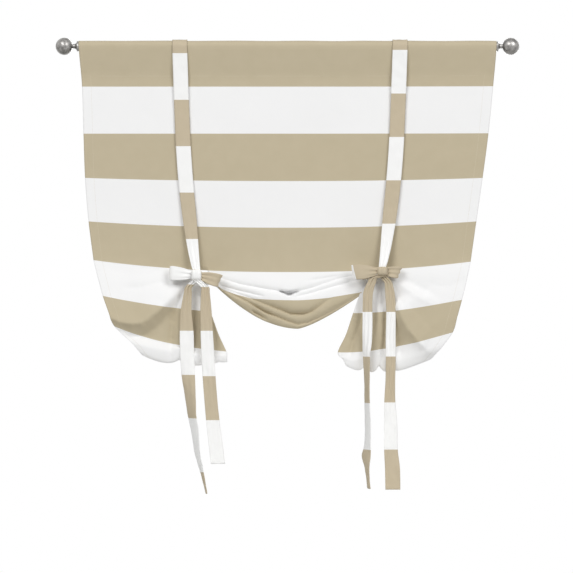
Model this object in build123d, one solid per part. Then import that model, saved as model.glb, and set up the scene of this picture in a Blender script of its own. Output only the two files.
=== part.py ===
from build123d import *
import os
from math import atan2, cos, pi, radians, sin, sqrt

# Tie-up curtain on its telescoping rod, in millimetres. The rod's axis is the X axis, the origin is
# half way between the two finials, +Z is up and the curtain's face looks along -Y.

# Rod and finials
rod_diameter = 25.4
rod_wall = 1.0
rod_slide_clearance = 0.3
outer_tube_length = 711
inner_tube_length = 690
ball_diameter = 44
neck_diameter = 11
collar_diameter = 26.5
collar_rim = 2.5
finial_reach = 35
stud_diameter = 6
stud_length = 26
stud_depth_in_finial = 14
plug_length = 20
fit_clearance = 0.05

# Curtain panel
panel_width = 1067
cloth_thickness = 1.5
cloth_clearance = 0.3
edge_clearance = 1.5
pocket_depth = 89
seam_width = 4
left_knot_offset = 231
right_knot_offset = 241
left_knot_drop = 584
right_knot_drop = 574
left_wing_drop = 800
right_wing_drop = 815
wing_depth = 72
wing_fold_depth = 15
swag_drop = 719
swag_depth = 62
pleat_depth = 9
pleat_lean = 4
sew_overlap = 10

# Ties
tie_width = 38
tie_gathered_width = 18
left_tie_offset = 275
right_tie_offset = 287
tie_layer_step = 4
knot_standoff = 32
knot_width = 26
knot_height = 30
knot_bulge = 7
loop_opening = 13
left_outer_loop_reach = 69
left_inner_loop_reach = 61
right_outer_loop_reach = 46
right_inner_loop_reach = 78
left_outer_loop_lift = 6
left_inner_loop_drop = 15
left_underpass_offset = 28
left_underpass_drop = 16
right_underpass_offset = 49
right_underpass_drop = 13
underpass_depth = 24
left_outer_tail_length = 556
left_inner_tail_length = 480
right_outer_tail_length = 556
right_inner_tail_length = 553
tail_lean = 5

# Each row of a wing runs from the cloth's side edge to the inner edge of the fan below the knot.
# Across shares go from the panel's top corner to the knot, drop shares from the knot to the wing's
# lowest fold. The columns are edge across, edge drop, inner across, inner drop, sag and depth.
left_wing_shares = [
    (0.130, -0.172, 1.020, 0.000, 0.00, 0.00),
    (0.209, 0.241, 1.110, 0.425, 0.02, -0.33),
    (0.307, 0.592, 1.251, 0.893, 0.05, -0.40),
    (0.430, 0.805, 1.245, 1.000, 0.12, 0.06),
    (0.400, 0.494, 1.150, 0.575, 0.08, 0.46),
    (0.350, 0.149, 1.040, 0.172, 0.00, 0.30),
]
right_wing_shares = [
    (0.227, -0.095, 1.090, 0.000, 0.00, 0.00),
    (0.307, 0.299, 1.253, 0.441, 0.03, -0.33),
    (0.387, 0.636, 1.361, 0.876, 0.05, -0.40),
    (0.485, 0.794, 1.341, 0.950, 0.14, 0.06),
    (0.441, 0.505, 1.240, 0.557, 0.08, 0.46),
    (0.389, 0.175, 1.050, 0.196, 0.00, 0.30),
]
fan_closing_share = 0.8
fan_centre_share = 1.3
wing_fold_count = 5
wing_columns = 12
wing_rows = 18

# Rows of the swag from the panel to the hem behind. The columns are end across (a share of the knot's
# offset) and end drop on the left, drop at the middle, end across and end drop on the right (drops are
# shares of the fall from the knots to the lowest fold) and depth.
swag_shares = [
    (0.88, 0.000, -0.018, 0.775, -0.030, 0.00),
    (0.82, 0.130, 0.490, 0.765, 0.180, -0.40),
    (0.76, 0.285, 1.000, 0.750, 0.400, 0.02),
    (0.82, 0.200, 0.600, 0.765, 0.230, 0.46),
    (0.88, 0.060, 0.260, 0.775, 0.060, 0.30),
]
swag_end_fullness_share = 0.3
swag_curve_power = 1.7
swag_columns = 9
pleat_count = 4
rows_per_pleat = 6
swag_back_rows = 7

# Tails from the knot down. The columns are across (a share of the tie's width, outwards positive), drop
# (a share of the tail's length), twist in degrees and fullness of the width.
tail_shares = {
    "left_outer": [
        (0.55, 0.06, 0, 0.35),
        (0.70, 0.16, 4, 0.90),
        (0.71, 0.28, 8, 0.90),
        (0.62, 0.45, -6, 0.90),
        (0.36, 0.61, 48, 0.90),
        (0.14, 0.76, 66, 0.90),
        (-0.20, 0.87, 70, 0.90),
        (-0.66, 1.00, 66, 0.90),
    ],
    "left_inner": [
        (-0.55, 0.06, 0, 0.35),
        (-0.62, 0.18, 4, 0.90),
        (-0.66, 0.30, 6, 0.90),
        (-0.84, 0.54, -8, 0.90),
        (-1.08, 0.77, 6, 0.90),
        (-1.46, 1.00, 12, 0.90),
    ],
    "right_outer": [
        (0.30, 0.05, 0, 0.35),
        (0.45, 0.18, 0, 0.90),
        (0.54, 0.39, -16, 0.90),
        (0.57, 0.60, 8, 0.90),
        (0.60, 0.82, -6, 0.90),
        (0.66, 1.00, 4, 0.90),
    ],
    "right_inner": [
        (-0.55, 0.04, 0, 0.35),
        (-0.92, 0.12, 8, 0.80),
        (-1.03, 0.22, 22, 0.90),
        (-1.02, 0.36, 40, 0.90),
        (-1.04, 0.48, 70, 0.90),
        (-1.07, 0.62, 64, 0.90),
        (-1.08, 0.82, 66, 0.90),
        (-0.86, 1.00, 70, 0.90),
    ],
}
# Loops from the knot out along the back layer and home along the front one. The columns are reach, half
# of the opening (back to front) and fullness of the width, each as a share of its size.
loop_shares = [
    (0.22, -0.30, 0.10),
    (0.52, -0.85, 0.75),
    (0.86, -1.00, 1.00),
    (1.00, 0.00, 1.00),
    (0.86, 1.00, 1.00),
    (0.52, 0.85, 0.75),
    (0.22, 0.30, 0.10),
]
loop_rows = 15
tail_rows = 13
# Straps below the pocket: share of the fall, share of the spread that is left and fullness of the width.
strap_shares = [
    (0.25, 0.90, 1.00),
    (0.45, 0.79, 1.00),
    (0.62, 0.63, 1.00),
    (0.78, 0.41, 0.85),
    (0.90, 0.22, 0.50),
    (0.97, 0.08, 0.20),
]
strap_top_angles = (80, 60, 40, 20, 0)
# The lie of a tie's width in degrees as it turns into a loop, along the loop and out into a tail.
loop_angle = -90
loop_turn_angles = (0, -30, -60, -90)
inner_tail_turn_angles = (-90, -120, -150, -180)
outer_tail_turn_angles = (-90, -60, -30, 0)
# The wrap of a back tie: inward share, share of the way to the front and share of the rise to the knot.
wrap_shares = [
    (0.72, 0.00, 0.00),
    (0.93, 0.04, 0.00),
    (1.00, 0.15, 0.00),
    (1.00, 0.85, 0.00),
    (0.93, 0.96, 0.10),
    (0.72, 1.00, 0.25),
]
turn_radius_share = 0.6
knot_rounding_share = 0.7

# Sizes that follow from those above
rod_radius = rod_diameter / 2
outer_bore_radius = rod_radius - rod_wall
inner_tube_radius = outer_bore_radius - rod_slide_clearance
inner_bore_radius = inner_tube_radius - rod_wall
half_panel = panel_width / 2
half_rod = half_panel + edge_clearance
pocket_radius = rod_radius + cloth_clearance
pocket_outer_radius = pocket_radius + cloth_thickness
tie_hang_radius = pocket_outer_radius + cloth_clearance + cloth_thickness / 2
seam_z = pocket_outer_radius - pocket_depth
knot_drop = (left_knot_drop + right_knot_drop) / 2
swag_fall = swag_drop - knot_drop
turn_radius = tie_gathered_width * turn_radius_share
OUTWARDS = {"left": -1, "right": 1}
KNOT_X = {"left": -left_knot_offset, "right": right_knot_offset}
KNOT_Z = {"left": -left_knot_drop, "right": -right_knot_drop}
TIE_SPREAD = {"left": left_tie_offset - left_knot_offset, "right": right_tie_offset - right_knot_offset}
WING_DROP = {"left": left_wing_drop, "right": right_wing_drop}
WING_SHARES = {"left": left_wing_shares, "right": right_wing_shares}
UNDERPASS = {
    "left": (left_underpass_offset, left_underpass_drop),
    "right": (right_underpass_offset, right_underpass_drop),
}
LOOP = {
    "left_outer": (left_outer_loop_reach, -left_outer_loop_lift),
    "left_inner": (left_inner_loop_reach, left_inner_loop_drop),
    "right_outer": (right_outer_loop_reach, 0),
    "right_inner": (right_inner_loop_reach, 0),
}
TAIL_LENGTH = {
    "left_outer": left_outer_tail_length,
    "left_inner": left_inner_tail_length,
    "right_outer": right_outer_tail_length,
    "right_inner": right_inner_tail_length,
}


def smooth(rows, place):
    """Return the numbers at place, 0 to 1, on a smooth curve through evenly spaced rows of numbers."""
    last = len(rows) - 1
    first = min(int(place * last), last - 1)
    t = place * last - first
    near = [rows[min(max(first + step, 0), last)] for step in (-1, 0, 1, 2)]
    return [
        b + t / 2 * (c - a + t * (2 * a - 5 * b + 4 * c - d + t * (3 * (b - c) + d - a)))
        for a, b, c, d in zip(*near)
    ]


def spaced(count):
    """Return count places, evenly spaced from 0 to 1."""
    return [step / (count - 1) for step in range(count)]


def row_edge(points):
    """Return the edge through one row of a sheet: straight for two points, otherwise a smooth curve."""
    if len(points) == 2:
        return Edge.make_line(*points)
    return Edge.make_spline(points, parameters=spaced(len(points)))


def strips(edges):
    """Return the ruled faces between each edge of a list and the next one."""
    return [Face.make_surface_from_curves(here, there) for here, there in zip(edges, edges[1:])]


def sheet_solid(net, thicknesses):
    """Return a solid sheet through rows of points, ruled from row to row, with one thickness for each row."""
    last = len(net) - 1
    front = []
    back = []
    for i, row in enumerate(net):
        offsets = []
        for j in range(len(row)):
            along = net[min(i + 1, last)][j] - net[max(i - 1, 0)][j]
            across = row[min(j + 1, len(row) - 1)] - row[max(j - 1, 0)]
            offsets.append(along.cross(across).normalized() * thicknesses[i] / 2)
        front.append([point + offset for point, offset in zip(row, offsets)])
        back.append([point - offset for point, offset in zip(row, offsets)])
    front_edges = [row_edge(row) for row in front]
    back_edges = [row_edge(row) for row in back]
    faces = strips(front_edges) + strips(back_edges)
    for end in (0, -1):
        faces += strips([Edge.make_line(f[end], b[end]) for f, b in zip(front, back)])
        faces += strips([front_edges[end], back_edges[end]])
    return Solid(Shell(faces))


def sewn_sheet(rows):
    """Return a sheet whose first row starts thin inside the flat panel above it."""
    start = [Vector(point.X, 0, point.Z + sew_overlap) for point in rows[0]]
    thin = cloth_thickness / 2
    return sheet_solid([start, *rows], [thin, thin] + [cloth_thickness] * (len(rows) - 1))


def wing_point(side, across, down):
    """Return a point of a wing, across from the side edge to the fan, down from the panel to the hem."""
    reach = half_panel - abs(KNOT_X[side])
    fall = WING_DROP[side] + KNOT_Z[side]
    edge_x, edge_drop, inner_x, inner_drop, sag, depth = smooth(WING_SHARES[side], down)
    share = edge_x + (inner_x - edge_x) * across
    drop = edge_drop + (inner_drop - edge_drop) * across + sag * 4 * across * (1 - across)
    closing = 1 - fan_closing_share * across**4
    wave = (1 + sin(wing_fold_count * atan2(drop, fan_centre_share - share))) / 2
    fold = wing_fold_depth * wave * 4 * down * (1 - down)
    return Vector(
        OUTWARDS[side] * (half_panel - reach * share),
        (depth * wing_depth + fold) * closing,
        KNOT_Z[side] - fall * drop,
    )


def wing(side):
    """Return one side wing: the front drop, the fold at the bottom and the lift to the hem behind."""
    return sewn_sheet([[wing_point(side, a, b) for a in spaced(wing_columns)] for b in spaced(wing_rows)])


def swag_point(across, down):
    """Return a point of the swag, across from -1 to 1 and down from the panel at 0 to the hem at 1."""
    left_x, left_drop, middle_drop, right_x, right_drop, depth = smooth(swag_shares, down)
    right = (across + 1) / 2
    fullness = 1 - abs(across) ** swag_curve_power
    ends = left_drop + (right_drop - left_drop) * right
    drop = ends + (middle_drop - (left_drop + right_drop) / 2) * fullness
    swell = swag_end_fullness_share + (1 - swag_end_fullness_share) * fullness
    wave = 2 * pi * pleat_count * min(2 * down, 1)
    return Vector(
        right_knot_offset * right_x * right - left_knot_offset * left_x * (1 - right),
        swell * (depth * swag_depth - pleat_depth * (1 - cos(wave)) / 2),
        -knot_drop - swag_fall * drop - pleat_lean * swell * sin(wave),
    )


def swag():
    """Return the swag between the knots: pleats in front, the lowest fold and the lift to the hem."""
    downs = [place / 2 for place in spaced(pleat_count * rows_per_pleat + 1)]
    downs += [(1 + place) / 2 for place in spaced(swag_back_rows)[1:]]
    return sewn_sheet([[swag_point(2 * a - 1, b) for a in spaced(swag_columns)] for b in downs])


def panel_top():
    """Return the flat upper panel with the rod pocket sewn along its top."""
    lowest = -max(left_wing_drop, right_wing_drop)
    seam = Pos(0, seam_z) * Rectangle(2 * cloth_thickness, seam_width)
    seam_top = Pos(0, seam_z + seam_width) * Rectangle(cloth_clearance, cloth_clearance)
    loop = make_hull([*Circle(pocket_outer_radius).edges(), *seam.edges()])
    hollow = make_hull([*Circle(pocket_radius).edges(), *seam_top.edges()])
    drop = Pos(0, (seam_z + lowest) / 2) * Rectangle(cloth_thickness, seam_z - lowest)
    sheet = extrude(Plane.YZ * (loop - hollow + drop), amount=half_panel, both=True)
    rim = [wing_point("left", a, 0) for a in (0, 1)]
    rim += [swag_point(a, 0) for a in (-1, 0, 1)]
    rim += [wing_point("right", a, 0) for a in (1, 0)]
    corners = [(half_panel, pocket_outer_radius), (-half_panel, pocket_outer_radius)]
    outline = Polyline(*corners, *[(point.X, point.Z) for point in rim], close=True)
    return sheet & extrude(Plane.XZ * make_face(outline), amount=pocket_depth, both=True)


def curtain_panel():
    """Return the whole curtain panel as one piece of cloth."""
    return panel_top() + wing("left") + wing("right") + swag()


def station(side, outwards, y, z, width, lie):
    """Return the two edge points of a tie; lie is its width's turn in degrees from the outward direction."""
    x = KNOT_X[side] + OUTWARDS[side] * outwards
    half = Vector(OUTWARDS[side] * cos(radians(lie)), 0, sin(radians(lie))) * width / 2
    return [Vector(x, y, z) - half, Vector(x, y, z) + half]


def full_width(share):
    """Return the width of a tie that is gathered at 0 and spread flat at 1."""
    return tie_gathered_width + (tie_width - tie_gathered_width) * share


def strap(side, facing, foot_y, foot_z):
    """Return the stations of a strap from the top of the pocket down to its foot; facing is -1 in front."""
    spread = TIE_SPREAD[side]
    top_y = facing * tie_hang_radius
    rows = []
    for lift in strap_top_angles:
        y = top_y * cos(radians(lift))
        rows.append(station(side, spread, y, tie_hang_radius * sin(radians(lift)), tie_width, 0))
    for share, spread_share, full_share in strap_shares:
        y = top_y + (foot_y - top_y) * share
        rows.append(station(side, spread * spread_share, y, foot_z * share, full_width(full_share), 0))
    return rows


def knot_turn(side, outwards, rise, y, z, lies):
    """Return the stations of a flat turn in a knot; rise is 1 above the knot's level z and -1 below it."""
    rows = []
    for lie in lies:
        out = outwards * turn_radius * (1 - abs(cos(radians(lie))))
        level = z + rise * turn_radius * (1 + sin(radians(lie)))
        rows.append(station(side, out, y, level, tie_gathered_width, lie))
    return rows


def loop(side, half, outwards, layer):
    """Return the stations of one bow loop, out along its back layer and home along its front layer."""
    reach, drop = LOOP[f"{side}_{half}"]
    middle_y = (layer_y(layer) + layer_y(layer + 1)) / 2
    rows = []
    for place in spaced(loop_rows):
        out_share, opening_share, full_share = smooth(loop_shares, place)
        out = outwards * reach * out_share
        y = middle_y - opening_share * loop_opening / 2
        z = KNOT_Z[side] - drop * out_share
        rows.append(station(side, out, y, z, full_width(full_share), loop_angle))
    return rows


def tail(side, half, y, flip):
    """Return the stations of one hanging tail below the knot; flip is -1 where its outer edge comes first."""
    length = TAIL_LENGTH[f"{side}_{half}"]
    rows = []
    for place in spaced(tail_rows):
        across_share, drop_share, twist, full_share = smooth(tail_shares[f"{side}_{half}"], place)
        x = KNOT_X[side] + OUTWARDS[side] * across_share * tie_width
        centre = Vector(x, y + tail_lean * drop_share, KNOT_Z[side] - length * drop_share)
        turned = Vector(flip * OUTWARDS[side] * cos(radians(twist)), sin(radians(twist)), 0)
        edge = turned * full_width(full_share) / 2
        rows.append([centre - edge, centre + edge])
    return rows


def layer_y(layer):
    """Return the depth of one layer of cloth in a knot, counted from the panel."""
    return -knot_standoff - layer * tie_layer_step


def front_tie(side):
    """Return a front tie: strap, inner bow loop, tail and the knot that it makes, as one strip."""
    knot_z = KNOT_Z[side]
    rows = strap(side, -1, layer_y(2), knot_z + turn_radius)
    rows += knot_turn(side, -1, 1, layer_y(2), knot_z, loop_turn_angles)
    rows += loop(side, "inner", -1, 2)
    rows += knot_turn(side, -1, -1, layer_y(3), knot_z, inner_tail_turn_angles)
    rows += tail(side, "inner", layer_y(3), -1)
    strip = sheet_solid(rows, [cloth_thickness] * len(rows))
    face = Plane((KNOT_X[side], layer_y(3), knot_z), x_dir=(1, 0, 0), z_dir=(0, -1, 0))
    knot = extrude(face * RectangleRounded(knot_width, knot_height, knot_bulge), amount=knot_bulge)
    knot = fillet(knot.faces().sort_by(Axis.Y)[0].edges(), knot_bulge * knot_rounding_share)
    return strip + knot


def back_tie(side):
    """Return a back tie: strap, wrap around the gathered cloth, outer bow loop and tail, as one strip."""
    knot_z = KNOT_Z[side]
    inwards, drop = UNDERPASS[side]
    wrap_z = knot_z - drop
    rows = strap(side, 1, underpass_depth, wrap_z + turn_radius)
    rows += knot_turn(side, -1, 1, underpass_depth, wrap_z, loop_turn_angles)
    for in_share, y_share, rise_share in wrap_shares:
        y = underpass_depth + (layer_y(0) - underpass_depth) * y_share
        z = wrap_z + drop * rise_share
        rows.append(station(side, -inwards * in_share, y, z, tie_gathered_width, loop_angle))
    rows += loop(side, "outer", 1, 0)
    rows += knot_turn(side, 1, -1, layer_y(1), knot_z, outer_tail_turn_angles)
    rows += tail(side, "outer", layer_y(1), 1)
    return sheet_solid(rows, [cloth_thickness] * len(rows))


def tube(start, length, radius):
    """Return a length of rod tube along X from start."""
    ring = Plane.YZ.offset(start) * (Circle(radius) - Circle(radius - rod_wall))
    return extrude(ring, amount=length)


def finial():
    """Return a turned ball finial for the right end: flared collar, waisted neck and ball."""
    ball_x = half_rod + finial_reach
    ball_radius = ball_diameter / 2
    neck_radius = neck_diameter / 2
    collar_radius = collar_diameter / 2
    ball_start = ball_x - sqrt(ball_radius**2 - neck_radius**2)
    waist = (ball_start - collar_rim, neck_radius)
    collar = (half_rod + collar_rim, collar_radius)
    profile = [
        Line((half_rod, 0), (half_rod, collar_radius)),
        Line((half_rod, collar_radius), collar),
        TangentArc(waist, collar, tangent=(-1, 0)),
        Line(waist, (ball_start, neck_radius)),
        ThreePointArc((ball_start, neck_radius), (ball_x, ball_radius), (ball_x + ball_radius, 0)),
        Line((ball_x + ball_radius, 0), (half_rod, 0)),
    ]
    turned = revolve(make_face(Wire(profile)), Axis.X)
    hole = Plane.YZ.offset(half_rod) * Circle(stud_diameter / 2 + fit_clearance)
    return turned - extrude(hole, amount=stud_depth_in_finial)


def stud():
    """Return the threaded stud that joins a finial to its plug, at the right end."""
    start = half_rod + stud_depth_in_finial - stud_length
    return extrude(Plane.YZ.offset(start) * Circle(stud_diameter / 2), amount=stud_length)


def plug(bore_radius):
    """Return the plug pressed into a tube's right end, bored for the stud."""
    ring = Circle(bore_radius - fit_clearance) - Circle(stud_diameter / 2 + fit_clearance)
    return extrude(Plane.YZ.offset(half_rod - plug_length) * ring, amount=plug_length)


nodes = {
    "rod_outer_tube": tube(-half_rod, outer_tube_length, rod_radius),
    "rod_inner_tube": tube(half_rod - inner_tube_length, inner_tube_length, inner_tube_radius),
    "left_finial": mirror(finial(), Plane.YZ),
    "right_finial": finial(),
    "left_finial_stud": mirror(stud(), Plane.YZ),
    "right_finial_stud": stud(),
    "left_rod_plug": mirror(plug(outer_bore_radius), Plane.YZ),
    "right_rod_plug": plug(inner_bore_radius),
    "curtain_panel": curtain_panel(),
    "left_front_tie": front_tie("left"),
    "left_back_tie": back_tie("left"),
    "right_front_tie": front_tie("right"),
    "right_back_tie": back_tie("right"),
}
os.makedirs("parts", exist_ok=True)
for name, solid in nodes.items():
    export_step(solid, f"parts/{name}.step")
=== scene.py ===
from math import copysign, cos, exp, hypot, pi, radians, sin

import bmesh
import bpy
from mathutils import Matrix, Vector, noise


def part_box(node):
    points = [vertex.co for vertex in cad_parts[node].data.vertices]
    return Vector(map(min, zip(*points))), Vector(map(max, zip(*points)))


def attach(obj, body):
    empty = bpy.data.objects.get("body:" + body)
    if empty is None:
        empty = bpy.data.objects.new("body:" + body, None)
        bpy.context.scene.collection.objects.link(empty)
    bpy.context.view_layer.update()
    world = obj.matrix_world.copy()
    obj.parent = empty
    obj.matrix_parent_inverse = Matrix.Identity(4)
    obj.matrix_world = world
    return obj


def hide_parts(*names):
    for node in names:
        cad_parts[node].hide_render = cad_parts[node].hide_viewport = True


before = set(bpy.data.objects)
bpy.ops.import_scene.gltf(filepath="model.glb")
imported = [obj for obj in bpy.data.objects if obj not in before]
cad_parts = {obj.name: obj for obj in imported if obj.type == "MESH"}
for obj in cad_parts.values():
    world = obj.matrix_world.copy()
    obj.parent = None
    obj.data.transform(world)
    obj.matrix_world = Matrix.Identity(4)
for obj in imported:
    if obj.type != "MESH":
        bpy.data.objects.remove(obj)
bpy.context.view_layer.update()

# Tie-up curtain on its rod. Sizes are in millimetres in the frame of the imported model: the rod's axis is
# the X axis, +Z is up and the curtain's face looks along -Y. Meshes are made in metres.
MM = 0.001

# Rod and panel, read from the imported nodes
rod_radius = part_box("rod_outer_tube")[1].z / MM
panel_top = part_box("curtain_panel")[1].z / MM

# Panel cloth. Stripes are counted down from the panel's top: 0 to 1 is tan, 1 to 2 is white and so on.
cloth_thickness = 1.1
weld_distance = 0.02
wrinkle_size = 70
wrinkle_height = 0.9
# Level of the knots, how far the panel comes forward there, and from which stripe and how late it does so
knot_stripe = 5
knot_level_depth = 8
settle_stripe = 3.2
settle_power = 3
# Slow sway of the hanging panel: height, stripe at which it starts, stripes over which it grows, and the
# pattern's steps across and down and its place
sway_height = 2.5
sway_start = 0.8
sway_growth = 1.2
sway_across = 3.1
sway_down = 0.45
sway_place = 4.0

# Rod pocket: seam below the rod, hem that hangs behind the seam, looseness around the rod, stripe of the
# pocket's back, and the ripples' height, sizes along X, Y and Z and share that crosses the pocket
seam_drop = 75.8
pocket_hem = 5
pocket_hem_lie = 1.45
pocket_slack = 0.9
pocket_back_stripe = 0.4
pocket_ripple = 1.2
pocket_ripple_sizes = (90, 40, 60)
pocket_ripple_crossing = 0.3

# Side edges of the panel at each whole stripe down to the knots, as distance from the middle and height,
# then the heights of its middle.
left_edge_rows = [(533.5, 14.5), (524.7, -103), (521, -223), (517, -336), (508, -447), (495, -546)]
right_edge_rows = [(533.5, 14.5), (525, -102), (513, -222), (498, -336), (482, -447), (467, -550)]
middle_rows = [(14.5,), (-103,), (-223,), (-344,), (-463,), (-576.5,)]
EDGE_ROWS = {"left": left_edge_rows, "right": right_edge_rows}
edge_lift_power = 2.2

# Side wings below the knots, from the panel round the bottom fold to the hem behind. The columns are
# stripe, side edge's distance and height, fan edge's distance and height, sag and depth.
left_wing_rows = [
    (5.00, 495, -546, 225, -582, 1.5, -8),
    (5.50, 483, -592, 209, -622, 3, -19),
    (6.00, 470, -637, 196, -678, 4, -25),
    (6.50, 455, -677, 178, -730, 7, -27),
    (7.00, 440, -714, 156, -779, 12, -26),
    (7.30, 396, -757, 154, -794, 12, -33),
    (7.42, 366, -787, 157, -800, 20, -15),
    (8.20, 392, -700, 186, -709, 12, 33),
    (8.90, 420, -617, 219, -622, 0, 22),
]
right_wing_rows = [
    (5.00, 467, -550, 215, -578, 0, -8),
    (5.50, 456, -600, 187, -626, 3, -19),
    (6.00, 444, -647, 167, -681, 7, -25),
    (6.50, 432, -690, 149, -735, 10, -27),
    (7.00, 420, -730, 128, -781, 12, -26),
    (7.30, 384, -777, 140, -797, 22, -28),
    (7.42, 357, -797, 155, -811, 28, -11),
    (8.20, 385, -705, 171, -709, 16, 33),
    (8.90, 414, -617, 226, -622, 0, 22),
]
WING_ROWS = {"left": left_wing_rows, "right": right_wing_rows}
# How much of a wing's depth is gone at the fan's edge, and how late it goes.
fan_closing = 0.5
fan_closing_power = 4
# Share of a wing's sag at its side edge and what is added towards the fan's edge.
SAG_SKEW = {"left": (1.2, -0.4), "right": (0.6, 0.7)}
# Creases of the wings: points that a crease runs through as distance from the middle and height, how far it
# pushes the cloth back, or forward where that is negative, and how far it reaches on the left and on the
# right of the way that it runs, where the side edge is drawn to the right of the middle.
left_wing_creases = [
    (
        [
            (540, -650), (500, -668), (462, -686), (426, -703), (395, -708), (371, -706), (354, -696),
            (337, -682), (304, -653), (280, -629), (252, -598),
        ],
        -23, 20, 48,
    ),
    (
        [(452, -722), (400, -742), (360, -736), (325, -708), (300, -678), (276, -640), (256, -604)],
        9, 34, 12,
    ),
    (
        [
            (252, -600), (262, -618), (272, -642), (284, -664), (292, -700), (295, -745), (296, -795),
            (296, -850),
        ],
        12, 12, 9,
    ),
    ([(258, -586), (310, -600), (372, -614), (440, -622)], 4, 13, 18),
    ([(262, -574), (330, -577), (400, -574), (470, -566)], 2.5, 12, 14),
    ([(232, -606), (236, -660), (240, -720), (246, -800)], 6, 6, 8),
    ([(222, -604), (217, -660), (209, -730), (202, -806)], 8, 8, 6),
    ([(214, -606), (200, -670), (187, -730), (176, -806)], 7, 8, 8),
]
right_wing_creases = [
    ([(262, -586), (273, -595), (298, -614), (323, -634), (352, -650), (380, -660)], -9, 14, 11),
    (
        [(268, -576), (296, -594), (314, -604), (332, -613), (350, -623), (368, -634), (400, -650)],
        10, 20, 12,
    ),
    ([(296, -646), (332, -680), (350, -702), (370, -722), (392, -745)], 2.5, 10, 8),
    ([(258, -592), (270, -608), (282, -630), (290, -656), (296, -684)], 6, 8, 8),
    (
        [(274, -640), (281, -664), (288, -688), (307, -722), (329, -748), (356, -775), (385, -800)],
        -26, 42, 20,
    ),
    ([(258, -606), (266, -650), (274, -690), (281, -730), (285, -780), (285, -820)], 11, 11, 9),
    ([(345, -594), (365, -603), (383, -612), (411, -612), (449, -598), (470, -590)], 2.5, 18, 16),
    ([(252, -606), (251, -680), (248, -740), (240, -800), (233, -850)], 12, 7, 10),
    ([(236, -592), (230, -620), (225, -660), (222, -700), (220, -760)], 6, 4, 5),
    ([(246, -600), (242, -625), (239, -655), (237, -690)], 5, 4, 4),
    ([(214, -612), (208, -680), (202, -740), (198, -800), (196, -850)], 9, 8, 8),
    ([(206, -612), (196, -670), (184, -712), (169, -750), (159, -783), (153, -815)], 12, 8, 12),
]
WING_CREASES = {"left": left_wing_creases, "right": right_wing_creases}
# Roundness of a crease, distance over which its stretches blend, and how fast it begins and ends
crease_softness = 3
crease_blend = 6
crease_begin = 5
crease_end = 3.5
smallest_weight = 1e-30
# Ruffles of the bottom edge: place, how far the edge is lifted and how far that reaches to either side.
HEM_RUFFLES = {
    "left": [(276, 15, 17), (206, 5, 8), (176, 4, 8)],
    "right": [(233, 21, 8), (196, 15, 9), (264, 9, 8)],
}

# Swag between the knots. The columns are stripe, left end's place and height, lowest height, right end's
# place and height, depth, and the power of the curve on the left and on the right.
swag_rows = [
    (5.0, -204, -579, -576.5, 198, -576, -8, 1.75, 1.75),
    (5.5, -190, -597, -612, 203, -602, -20, 2.1, 1.7),
    (6.0, -178, -613, -648, 196, -625, -27, 2.7, 1.6),
    (6.5, -176, -617, -686, 191, -629, -28, 2.1, 1.7),
    (6.9, -174, -620, -720, 186, -633, -9, 1.85, 1.33),
    (7.6, -189, -607, -663, 190, -611, 28, 1.75, 1.75),
    (8.1, -203, -588, -616, 195, -590, 19, 1.75, 1.75),
]
SWAG_ENDS = {"left": swag_rows[0][1], "right": swag_rows[0][4]}
# Place of the lowest point, and how the depth falls off from there to the ends.
swag_lowest = 26
swag_swell_power = 1.75
swag_end_fullness = 0.25
# Sagging creases of the swag: how far each one reaches above and below, then its points as place, height
# and depth.
swag_creases = [
    (4, 4, [
        (-195, -579, 2), (-165, -594, 4), (-124, -607, 6), (-80, -616, 7), (-42, -623, 8), (-20, -626, 7),
        (2, -632, 0),
    ]),
    (4, 4, [
        (6, -633, 0), (29, -626, 8), (60, -618, 8), (96, -605, 7), (142, -590, 6), (196, -578, 3),
    ]),
    (5, 3, [
        (-30, -622, 0), (-14, -628, 6), (0, -635, 11), (6, -637, 12), (12, -635, 11), (23, -628, 6),
        (36, -622, 0),
    ]),
    (4, 4, [(-186, -597, 3), (-172, -610, 5), (-134, -621, 7), (-78, -635, 6), (-52, -639, 0)]),
    (4, 4, [(6, -643, 0), (30, -638, 7), (60, -631, 8), (116, -614, 7), (147, -606, 6), (196, -588, 3)]),
    (4, 4, [(40, -600, 0), (72, -596, 3), (115, -588, 4), (158, -579, 4), (197, -575, 2)]),
    (6, 8, [
        (-170, -614, 3), (-121, -633, 7), (-71, -653, 10), (-18, -674, 15), (8, -685, 18), (40, -686, 18),
        (58, -680, 14), (84, -662, 8), (99, -650, 5), (120, -640, 0),
    ]),
    (5, 4, [
        (-172, -617, 4), (-106, -650, 9), (-66, -676, 19), (-50, -684, 19), (-30, -690, 12), (-1, -702, 12),
        (26, -711, 10), (55, -705, 8), (99, -684, 4), (128, -668, 4), (186, -632, 3),
    ]),
    (4, 3, [(-94, -676, 0), (-84, -681, 14), (-66, -691, 13), (-46, -700, 0)]),
    (6, 6, [(80, -690, 0), (110, -672, 2), (150, -650, 3), (184, -631, 3)]),
]
# How far the cloth above a crease hangs over it, as a share of its depth, and how far below that is felt.
crease_overhang = 0.4
crease_tuck = 5
# Hollow where the folds of both sides meet: points of its upper and lower edges as place, height and depth,
# and the width over which an edge is rounded.
hollow_top = [(-28, -622, 0), (-10, -624, 15), (4, -625, 24), (18, -624, 15), (32, -622, 0)]
hollow_bottom = [(-28, -622, 0), (-10, -631, 15), (4, -638, 24), (18, -631, 15), (32, -622, 0)]
hollow_edge = 4

# Where creases and ruffles show: stripe at which they begin, stripes over which they grow, stripe at which
# they start to fade and stripes over which they do.
wing_crease_stripes = (knot_stripe, 0.5, 7.3, 0.5)
hem_ruffle_stripes = (6.95, 0.4, 7.7, 0.5)
swag_crease_stripes = (knot_stripe, 0.25, 6.9, 1 / 3)

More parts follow.
